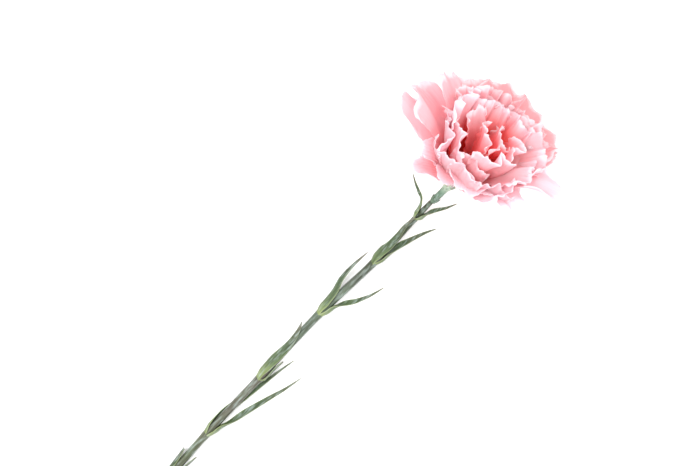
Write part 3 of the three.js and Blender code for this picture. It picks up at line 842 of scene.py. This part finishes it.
def green_material(name, stops, wax_and_highlight, rough, edge=0.0):
    """Leaf, stem or calyx skin: a colour along the piece, pale patches that are partly a waxen bloom and
    partly painted highlight, and fine long streaks.
    """
    material, tree = new_material(name)
    split = parts(tree, uv_place(tree, "petal"))
    coords = node(tree, "ShaderNodeTexCoord").outputs["Object"]
    uneven = swayed(tree, noise_texture(tree, coords, scale=70.0, detail=2.0), UNEVEN_SHARE)
    colour = ramp(tree, maths(tree, "ADD", split.outputs["Y"], uneven), stops)
    streaks = stretched_noise(tree, coords, STREAK_STRETCH, detail=3.0)
    patches = stretched_noise(tree, coords, WAX_AND_HIGHLIGHT_STRETCH, detail=4.0)
    colour = mix(tree, STREAK_SHARE, colour, ramp(tree, streaks, STREAK_SHADES), "MULTIPLY")
    # Pale streaky patches: partly a waxen bloom, partly painted highlight along the stem, leaves and calyx.
    wax_and_highlight_mask = ramp(tree, patches, WAX_AND_HIGHLIGHT_STOPS)
    colour = mix(tree, maths(tree, "MULTIPLY", wax_and_highlight_mask, wax_and_highlight), colour, WAX_AND_HIGHLIGHT_COLOUR)
    if edge:
        rim = ramp(tree, off_middle(tree, split), EDGE_STOPS)
        colour = mix(tree, maths(tree, "MULTIPLY", rim, edge), colour, EDGE_COLOUR)
    bump = node(tree, "ShaderNodeBump", {"Height": streaks, "Strength": 0.5, "Distance": 0.0004})
    roughness = maths(tree, "ADD", rough, maths(tree, "MULTIPLY", wax_and_highlight_mask, WAX_ROUGHNESS))
    surface = node(tree, "ShaderNodeBsdfPrincipled", {
        "Base Color": colour, "Roughness": roughness, "Normal": bump.outputs[0], "Specular IOR Level": 0.4,
    })
    node(tree, "ShaderNodeOutputMaterial", {"Surface": surface.outputs[0]})
    return material


def floor_material():
    """A plain pale floor with a faint grain."""
    material, tree = new_material("pale_floor")
    coords = node(tree, "ShaderNodeTexCoord").outputs["Object"]
    colour = ramp(tree, noise_texture(tree, coords, scale=60.0, detail=3.0), FLOOR_COLOURS)
    surface = node(tree, "ShaderNodeBsdfPrincipled", {"Base Color": colour, "Roughness": 0.8})
    node(tree, "ShaderNodeOutputMaterial", {"Surface": surface.outputs[0]})
    return material


PETAL = petal_material()
STEM = green_material("stem", STEM_COLOURS, wax_and_highlight=0.6, rough=0.45)
LEAF = green_material("leaf", LEAF_COLOURS, wax_and_highlight=0.6, rough=0.42, edge=0.45)
CALYX = green_material("calyx", CALYX_COLOURS, wax_and_highlight=0.5, rough=0.42)


def settle(piece, slot, *nodes):
    """Ties a finished piece to the frame."""
    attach(piece, "root")
    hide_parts(*nodes)


def lay_down(middle, lowest):
    """Bends what comes close to the surface outward in a soft curve, so that its end lies there."""
    height = (middle[..., 2] - lowest) / SURFACE_BEND
    lift = SURFACE_BEND * (np.logaddexp(0, height) - height)
    outward = unit(middle[..., :2] - THROAT_POINT[:2])
    laid = middle.copy()
    laid[..., :2] += outward * (OUTWARD_SHARE * lift)[..., None]
    laid[..., 2] += lift
    return laid


def make_petals():
    """Every petal as a thin shell, a few to a piece."""
    petals = list(enumerate(list_petals()))
    for name, count in PETAL_PIECES:
        build = Build()
        for number, petal in petals[:count]:
            middle, v = petal_middle(petal, number)
            middle = lay_down(middle, SURFACE_GAP + SURFACE_STEP * (number % SURFACE_STEPS))
            thickness = PETAL_THICKNESS["foot"] - PETAL_THICKNESS["lost_at_margin"] * v
            inner, back = petal["pale"]
            # The second value of each tint is painted shade: how far the palest colour is held back, most on
            # the far side.
            build.shell(middle, thickness, ((1 - inner, petal["dim"]), (1 - back, petal["dim"])))
        petals = petals[count:]
        settle(build.object(name, PETAL), "petal", "bloom")


def make_claws():
    """The feet of all petals, bundled into a ribbed core that the calyx holds, from its throat end down."""
    read = course(np.array(CORE_PROFILE), np.linspace(1, 0, CORE_STEPS))
    angle = np.linspace(TAU, 0, CORE_SIDES, endpoint=False)
    spread = read[:, :1] * ribbed(CORE_RIBS, angle)
    onward = np.repeat(read[:, 1:], CORE_SIDES, axis=1)
    build = Build()
    build.tube(rings_in_bloom(spread, angle, onward), CORE_FADING, CORE_TINT)
    settle(build.object("petal_claws", PETAL), "petal", "bloom")


def make_leaves():
    """Every leaf as a thin shell, thinner towards its edges and its tip."""
    for name, leaf in LEAVES.items():
        middle, u, v = leaf_middle(leaf)
        thickness = LEAF_THICKNESS["middle"] - LEAF_THICKNESS["lost_at_edge"] * np.abs(u) ** 2
        build = Build()
        build.shell(middle, thickness * (1 - LEAF_THICKNESS["lost_at_tip"] * v))
        settle(build.object(name + "_skin", LEAF), "leaf", name)


def make_stem():
    """The stem as one bar, slanted at its cut end and flat where it would go under the surface."""
    start, end = STEM_AXIS[0], STEM_AXIS[-1]
    x = np.linspace(start[0], end[0], STEM_STEPS)
    point, direction, upper, radius = stem_at(x)
    side = np.cross(direction, upper)
    angle = np.linspace(0, TAU, STEM_SIDES, endpoint=False)
    bulges = STEM_BULGES["height"] * np.sin(x * STEM_BULGES["rate"])[:, None] * np.cos(angle)[None]
    spread = radius[:, None] * (ribbed(STEM_RIDGES, angle) + bulges)
    rings = point[:, None] + side[:, None] * (spread * np.cos(angle))[..., None]
    rings = rings + upper[:, None] * (spread * np.sin(angle))[..., None]
    rings[..., 0] += (rings[..., 2] - start[2]) * CUT_SLOPE * (rings[..., 0] < start[0] + CUT_STRETCH)
    rings[..., 2] = np.maximum(rings[..., 2], 0)
    build = Build()
    build.tube(rings)
    settle(build.object("stem_skin", STEM), "stem", "stem")


def pointed_by(ring, angle, onward):
    """How far a ring of teeth or bracts draws each point of the calyx onward."""
    rim = smoothstep(onward, ring["start"], ring["end"]) * (onward < ring["end"] + POINT_MARGIN)
    points = np.maximum(0, np.cos(angle * ring["count"]))[None] ** POINT_POWER
    return ring["length"] * rim[:, None] * points


def make_calyx():
    """The calyx as one bar, drawn out into teeth and bracts."""
    profile = np.array(CALYX_PROFILE)
    onward = np.linspace(CALYX_FOOT, TEETH["end"], CALYX_STEPS)
    radius = np.interp(onward, profile[:, 0], profile[:, 1])
    angle = np.linspace(0, TAU, CALYX_SIDES, endpoint=False)
    tooth, bract = pointed_by(TEETH, angle, onward), pointed_by(BRACTS, angle, onward)
    flared = 1 + TEETH["flare"] * tooth + BRACTS["flare"] * bract
    spread = radius[:, None] * ribbed(CALYX_RIBS, angle) * flared
    build = Build()
    build.tube(rings_in_bloom(spread, angle, onward[:, None] + tooth + bract))
    settle(build.object("calyx_skin", CALYX), "calyx", "calyx")


# Camera: how far the stem is turned in the image, how far the camera leans, the scale and the width of the
# photo, its lens, and the point that it looks at
TURN = math.radians(45.7)
LEAN = math.radians(10)
MM_PER_PIXEL = 0.424
IMAGE_WIDTH = 700
LENS = 100.0
SENSOR = 36.0
DISTANCE = MM_PER_PIXEL * IMAGE_WIDTH * LENS / SENSOR
TARGET = np.array((172.6, 17.8, 3.0))
FARTHEST_SEEN = 20

# Lights: the way to each from the calyx mouth as the camera sees it (right, up, towards the camera), how far
# off and how wide it is, and its power in watts
LIGHTS = (
    dict(name="key", way=(-0.35, 0.0, 1.0), distance=1.0, size=0.4, power=7.0),
    dict(name="fill", way=(0.4, -0.5, 0.9), distance=1.2, size=0.8, power=3.2),
    dict(name="throat_fill", way=(0.5, 0.45, 0.7), distance=1.0, size=0.4, power=3.0),
)

# Surroundings: how strong the even light from all sides is, and half the side of the square floor
WORLD_STRENGTH = 1.15
FLOOR_HALF = 3.0


def camera_frame():
    """The camera's right, its up and the way towards it."""
    along = np.array((math.cos(LEAN), 0, -math.sin(LEAN)))
    left = np.array((0.0, 1.0, 0.0))
    towards = np.array((math.sin(LEAN), 0, math.cos(LEAN)))
    right = math.cos(TURN) * along - math.sin(TURN) * left
    up = math.sin(TURN) * along + math.cos(TURN) * left
    return right, up, towards


def make_camera():
    """The photo's view."""
    right, up, towards = camera_frame()
    camera = bpy.data.objects.new("camera", bpy.data.cameras.new("camera"))
    camera.data.lens = LENS
    camera.data.sensor_width = SENSOR
    camera.data.sensor_fit = "HORIZONTAL"
    camera.data.clip_end = FARTHEST_SEEN
    turned = Matrix((right, up, towards)).transposed().to_4x4()
    turned.translation = Vector((TARGET + towards * DISTANCE) * MM)
    camera.matrix_world = turned
    bpy.context.scene.collection.objects.link(camera)
    bpy.context.scene.camera = camera


def make_light(name, way, distance, size, power):
    """A round soft light that shines on the calyx mouth."""
    right, up, towards = camera_frame()
    data = bpy.data.lights.new(name, "AREA")
    data.shape = "DISK"
    data.size = size
    data.energy = power
    lamp = bpy.data.objects.new(name, data)
    to_lamp = Vector(unit(right * way[0] + up * way[1] + towards * way[2]))
    lamp.location = Vector(MOUTH * MM) + to_lamp * distance
    lamp.rotation_euler = to_lamp.to_track_quat("Z", "Y").to_euler()
    bpy.context.scene.collection.objects.link(lamp)


def make_floor():
    """A square floor, which isn't part of the flower."""
    mesh = bpy.data.meshes.new("floor")
    corners = [(x * FLOOR_HALF, y * FLOOR_HALF, 0) for x, y in ((-1, -1), (1, -1), (1, 1), (-1, 1))]
    mesh.from_pydata(corners, [], [(0, 1, 2, 3)])
    floor = bpy.data.objects.new("floor", mesh)
    floor.data.materials.append(floor_material())
    bpy.context.scene.collection.objects.link(floor)


def make_world():
    """Even white light from all sides, and colours shown as they are."""
    world = bpy.data.worlds.new("studio")
    world.use_nodes = True
    background = world.node_tree.nodes["Background"]
    background.inputs["Color"].default_value = (*WHITE, 1)
    background.inputs["Strength"].default_value = WORLD_STRENGTH
    bpy.context.scene.world = world
    bpy.context.scene.view_settings.view_transform = "Standard"


make_camera()
make_floor()
make_world()
for light in LIGHTS:
    make_light(**light)
make_petals()
make_claws()
make_leaves()
make_stem()
make_calyx()
